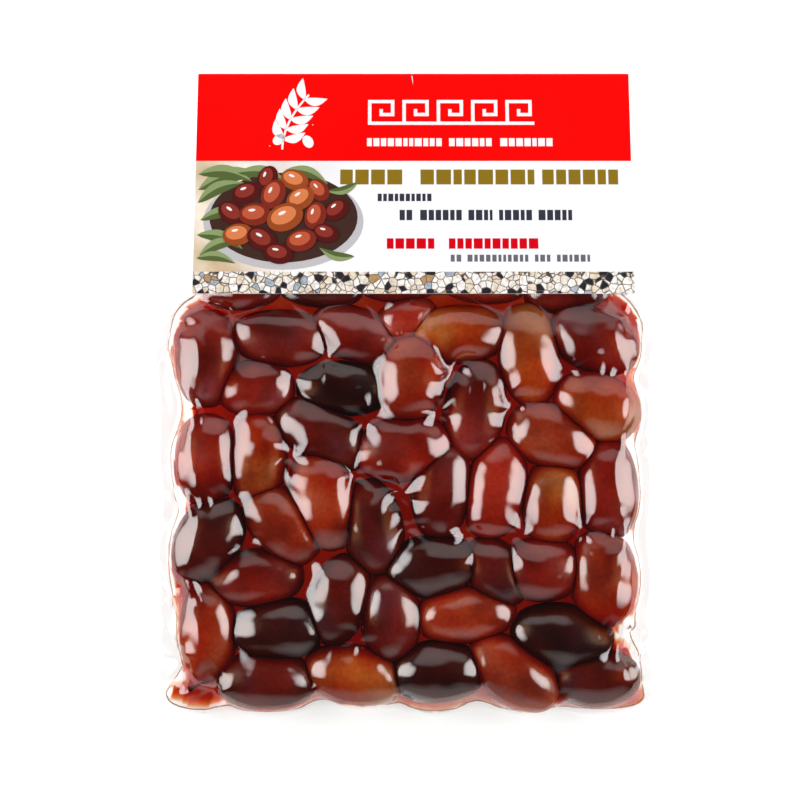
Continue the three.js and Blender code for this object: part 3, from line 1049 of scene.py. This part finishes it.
def sprig(u, v, height):
    """A small olive sprig: a curved stem with leaves on both sides and two fruits."""
    stem = [(u + height * (0.5 * t * t - 0.25), v + height * (t - 0.5)) for t in np.linspace(0, 0.9, 12)]
    shapes = [ribbon(stem, 0.7)]
    for k in range(2, 12, 2):
        x, y = stem[k]
        lean = 62 - 22 * k / 11
        shapes.append(leaf(x, y, height * 0.36, 3.0, lean + 52))
        shapes.append(leaf(x, y, height * 0.36, 3.0, lean - 40, bend=-0.12))
    shapes.append(oval(u - 6.5, v - 7.2, 4.6, 3.4, 40))
    shapes.append(oval(u + 3.2, v - 8.0, 4.6, 3.4, 120))
    return shapes


# Olives of the picture, from the back to the front: u, v of the middle, length, degrees turned, tone.
PICTURED_OLIVES = [
    (24, 39.5, 9.0, 70, 0), (33, 39.0, 9.5, -20, 2), (17, 34.5, 9.5, 20, 0), (41, 35.5, 8.5, -50, 1),
    (26, 34.0, 10.5, 65, 1), (35, 32.5, 10.0, 35, 2), (12.5, 27.5, 10.0, -35, 0), (47, 28.5, 9.0, 40, 0),
    (20, 27.0, 10.5, 5, 1), (40, 26.5, 9.5, 75, 1), (30, 26.0, 12.5, 25, 2), (14.5, 20.0, 10.0, 10, 2),
    (22.5, 18.5, 10.5, -30, 0), (43.5, 20.5, 8.5, -15, 0), (35.5, 18.0, 10.0, 15, 1),
    (28, 13.5, 9.5, -10, 0),
]
PICTURED_TONES = (
    ("dark", (0.085, 0.008, 0.008), (0.24, 0.03, 0.02)),
    ("red", (0.20, 0.022, 0.012), (0.48, 0.09, 0.04)),
    ("brown", (0.30, 0.06, 0.015), (0.66, 0.20, 0.07)),
)
# Leaves of the picture: u, v of the stalk, length, degrees turned.
PICTURED_LEAVES = [
    (1, 35.5, 22, 14), (1, 41, 18, -8), (14, 41.5, 17, -12), (1, 31, 17, 24), (2, 25, 15, 8),
    (1, 20, 16, -18), (2, 13, 15, 18), (1, 12, 13, -8), (30, 42.5, 15, -20), (54, 38, 11, 195),
    (53, 12.5, 12, 165),
]


def make_picture():
    """The printed picture: ripe olives heaped in a bowl among leaves."""
    print_shapes("picture_bowl", [oval(29.5, 24.5, 53, 33, 0, sides=48)], (0.5, 0.48, 0.5))
    print_shapes("picture_shade", [oval(29.5, 26, 49, 31, 0, sides=48)], (0.05, 0.022, 0.016), [2])
    leaves = [leaf(u, v, length, 0.26 * length, turn) for u, v, length, turn in PICTURED_LEAVES]
    lights = [leaf(u, v, length, 0.26 * length, turn, half=True) for u, v, length, turn in PICTURED_LEAVES]
    over = [2 * k for k in range(len(PICTURED_LEAVES))]
    print_shapes("picture_leaves", leaves, (0.085, 0.12, 0.035), [3 + n for n in over])
    print_shapes("picture_leaf_lights", lights, (0.24, 0.31, 0.13), [4 + n for n in over])
    first = 5 + 2 * len(PICTURED_LEAVES)
    for tone, (name, skin, glow) in enumerate(PICTURED_TONES):
        skins, glows, layers = [], [], []
        for k, (u, v, length, turn, own) in enumerate(PICTURED_OLIVES):
            if own == tone:
                layers.append(first + 3 * k)
                skins.append(oval(u, v, length, 0.74 * length, turn))
                glows.append(oval(u - 0.5, v + 0.6, 0.7 * length, 0.46 * length, turn))
        print_shapes("picture_olives_" + name, skins, skin, layers)
        print_shapes("picture_glow_" + name, glows, glow, [layer + 1 for layer in layers])
    shines = [oval(u - 1.0, v + 1.4, 0.22 * length, 0.09 * length, turn)
              for u, v, length, turn, _ in PICTURED_OLIVES]
    layers = [first + 2 + 3 * k for k in range(len(shines))]
    print_shapes("picture_shines", shines, (0.85, 0.8, 0.78), layers)


def make_print():
    """Generic marks in the places and colours of the card's print."""
    white = sprig(0.235 * CARD_WIDTH, 60.4, 21.5)
    white += greek_key(0.395 * CARD_WIDTH, 58.9, 1.92, 1.15, 5)
    white += block_line([(0.393, 0.565), (0.582, 0.68), (0.7, 0.83)], 52.2, 2.8, 1.9, 0.55, 3)
    white.append([(71.8, CARD_PANEL_LENGTH), (72.2, CARD_PANEL_LENGTH), (72.4, 72.4)])
    print_shapes("print_white", white, (0.89, 0.89, 0.9))
    gold = block_line([(0.332, 0.482), (0.516, 0.777), (0.795, 0.970)], 40.0, 5.2, 3.9, 0.8, 5)
    print_shapes("print_gold", gold, (0.25, 0.155, 0.01))
    dark = block_line([(0.418, 0.541)], 32.9, 2.6, 1.5, 0.5, 7)
    dark += block_line([(0.468, 0.5), (0.515, 0.61), (0.625, 0.68), (0.695, 0.77), (0.785, 0.870)],
                       26.8, 3.6, 1.8, 0.55, 11)
    print_shapes("print_dark", dark, (0.035, 0.035, 0.05))
    red = block_line([(0.439, 0.56), (0.58, 0.784)], 17.0, 3.6, 2.6, 0.6, 13)
    print_shapes("print_red", red, (0.62, 0.0, 0.008))
    thin = block_line([(0.584, 0.61), (0.622, 0.76), (0.775, 0.81), (0.825, 0.90)], 12.0, 2.4, 1.3, 0.6, 17)
    print_shapes("print_grey", thin, (0.13, 0.13, 0.15))


# ---------------------------------------------------------------- the stalk in the brine


STALK_CUT = (-72.6, -95.2, 3.4)
STALK_TIP = (-64.5, -91.6, 5.0)
STALK_BEND = 0.35
STALK_RADIUS = (0.85, 0.45, 0.06)   # at the cut, how much thinner beyond it, unevenness
STALK_RINGS, STALK_SIDES = 9, 10


def make_stalk():
    """A bit of olive stalk that floats in the lower left corner, thicker where it was cut."""
    start, end = np.array(STALK_CUT), np.array(STALK_TIP)
    rings, sides = STALK_RINGS, STALK_SIDES
    thick, thinner, uneven = STALK_RADIUS
    vertices = []
    for k in range(rings):
        t = k / (rings - 1)
        middle = start + (end - start) * t + np.array([0, STALK_BEND * math.sin(math.pi * t), 0])
        radius = thick - thinner * ease(min(1, t * 3)) + uneven * math.sin(7 * t)
        for j in range(sides):
            turn = 2 * math.pi * j / sides
            spoke = np.array([-0.4 * math.cos(turn), 0.9 * math.cos(turn), math.sin(turn)])
            vertices.append(middle + radius * spoke)
    faces = [tuple(range(sides))[::-1], tuple(range((rings - 1) * sides, rings * sides))]
    for k in range(rings - 1):
        for j in range(sides):
            a, b = k * sides + j, k * sides + (j + 1) % sides
            faces.append((a, b, b + sides, a + sides))
    make_piece("stalk", vertices, faces, plain_material("stalk", (0.06, 0.045, 0.012), 0.6, 0.3))


make_olives()
make_bag()
make_stalk()
make_card()
make_picture()
make_print()

# ---------------------------------------------------------------- table, light and camera

CAMERA_HEIGHT = 520.0
PHOTO_WIDTH = 266.4             # width that the photograph shows at the height of the olives
OLIVE_HEIGHT = 8.0
CAMERA_X = -1.8
CAMERA_Y = 2.2
SENSOR = 36.0
TABLE_HALF = 3.0                # in metres, as the next four
TABLE_CLEAR = 0.0001            # under the pack
SOFTBOX_AWAY = 0.66             # to each side
SOFTBOX_PLACE = (0.02, 0.38)    # towards the header and up
SOFTBOX_SIZE = (0.76, 0.88)
SOFTBOX_RADIANCE = 5.6
FILM_LAYERS = 24                # surfaces that light may pass through on one path
# The room's brightness by how far a direction leans to -Y or +Y.
WORLD_STOPS = ((-1.0, 0.7), (-0.85, 0.6), (-0.6, 0.04), (0.45, 0.04), (0.6, 0.7), (1.0, 0.8))


def make_table():
    """A wide pale table, which gives off a little light so that it stays white in the shade."""
    nodes = Nodes("table")
    shader = nodes.add("BsdfPrincipled", Base_Color=(0.9, 0.9, 0.9, 1), Roughness=0.9)
    shader.inputs["Emission Color"].default_value = (1, 1, 1, 1)
    shader.inputs["Emission Strength"].default_value = 0.4
    mesh = bpy.data.meshes.new("table")
    corners = [(x * TABLE_HALF, y * TABLE_HALF, 0) for x, y in ((-1, -1), (1, -1), (1, 1), (-1, 1))]
    mesh.from_pydata(corners, [], [(0, 1, 2, 3)])
    mesh.materials.append(nodes.surface(shader.outputs[0]))
    table = bpy.data.objects.new("table", mesh)
    bpy.context.scene.collection.objects.link(table)
    table.location.z = -TABLE_CLEAR


def soften_edges(light):
    """Lets a rectangular light fade towards its rounded edge."""
    light.use_nodes = True
    nodes = Tree(light.node_tree)
    split = nodes.add("SeparateXYZ", Vector=nodes.add("NewGeometry").outputs["Parametric"])
    powers = []
    for axis in ("X", "Y"):
        centred = nodes.add("MapRange", {"clamp": False}, Value=split.outputs[axis], To_Min=-1)
        square = nodes.pair("Math", "MULTIPLY", centred.outputs["Result"], centred.outputs["Result"])
        powers.append(nodes.pair("Math", "POWER", square, 1.5))
    total = nodes.pair("Math", "ADD", *powers)
    fade = nodes.add("MapRange", {"interpolation_type": "SMOOTHSTEP"}, Value=total, From_Min=0.1,
                     From_Max=1.0, To_Min=1, To_Max=0)
    emission = next(node for node in nodes.tree.nodes if node.type == "EMISSION")
    nodes.put(emission, "Strength", fade.outputs["Result"])


def make_softbox(name, x):
    """A rectangular light at x that looks at the pack."""
    light = bpy.data.lights.new(name, "AREA")
    light.shape = "RECTANGLE"
    light.size, light.size_y = SOFTBOX_SIZE
    light.energy = SOFTBOX_RADIANCE * math.pi * SOFTBOX_SIZE[0] * SOFTBOX_SIZE[1]
    soften_edges(light)
    lamp = bpy.data.objects.new(name, light)
    lamp.location = (x, *SOFTBOX_PLACE)
    direction = -lamp.location
    lamp.rotation_euler = direction.to_track_quat("-Z", "Y").to_euler()
    bpy.context.scene.collection.objects.link(lamp)


def make_world():
    """The room, with dark bands that keep the film's reflections clear of haze."""
    world = bpy.data.worlds.new("studio")
    world.use_nodes = True
    nodes = Tree(world.node_tree)
    nodes.tree.nodes.clear()
    split = nodes.add("SeparateXYZ", Vector=nodes.add("TexCoord").outputs["Generated"])
    half = nodes.add("MapRange", Value=split.outputs["Y"], From_Min=-1).outputs["Result"]
    stops = [((y + 1) / 2, (shade, shade, shade)) for y, shade in WORLD_STOPS]
    back = nodes.add("Background", Color=nodes.ramp(half, *stops))
    nodes.add("OutputWorld", Surface=back.outputs[0])
    bpy.context.scene.world = world


def make_camera():
    data = bpy.data.cameras.new("camera")
    data.sensor_width = SENSOR
    data.lens = SENSOR * (CAMERA_HEIGHT - OLIVE_HEIGHT) / PHOTO_WIDTH
    camera = bpy.data.objects.new("camera", data)
    camera.location = (CAMERA_X * MM, CAMERA_Y * MM, CAMERA_HEIGHT * MM)
    bpy.context.scene.collection.objects.link(camera)
    bpy.context.scene.camera = camera


make_table()
make_softbox("softbox_left", -SOFTBOX_AWAY)
make_softbox("softbox_right", SOFTBOX_AWAY)
make_world()
make_camera()
bpy.context.scene.view_settings.view_transform = "Standard"
bpy.context.scene.cycles.transparent_max_bounces = FILM_LAYERS
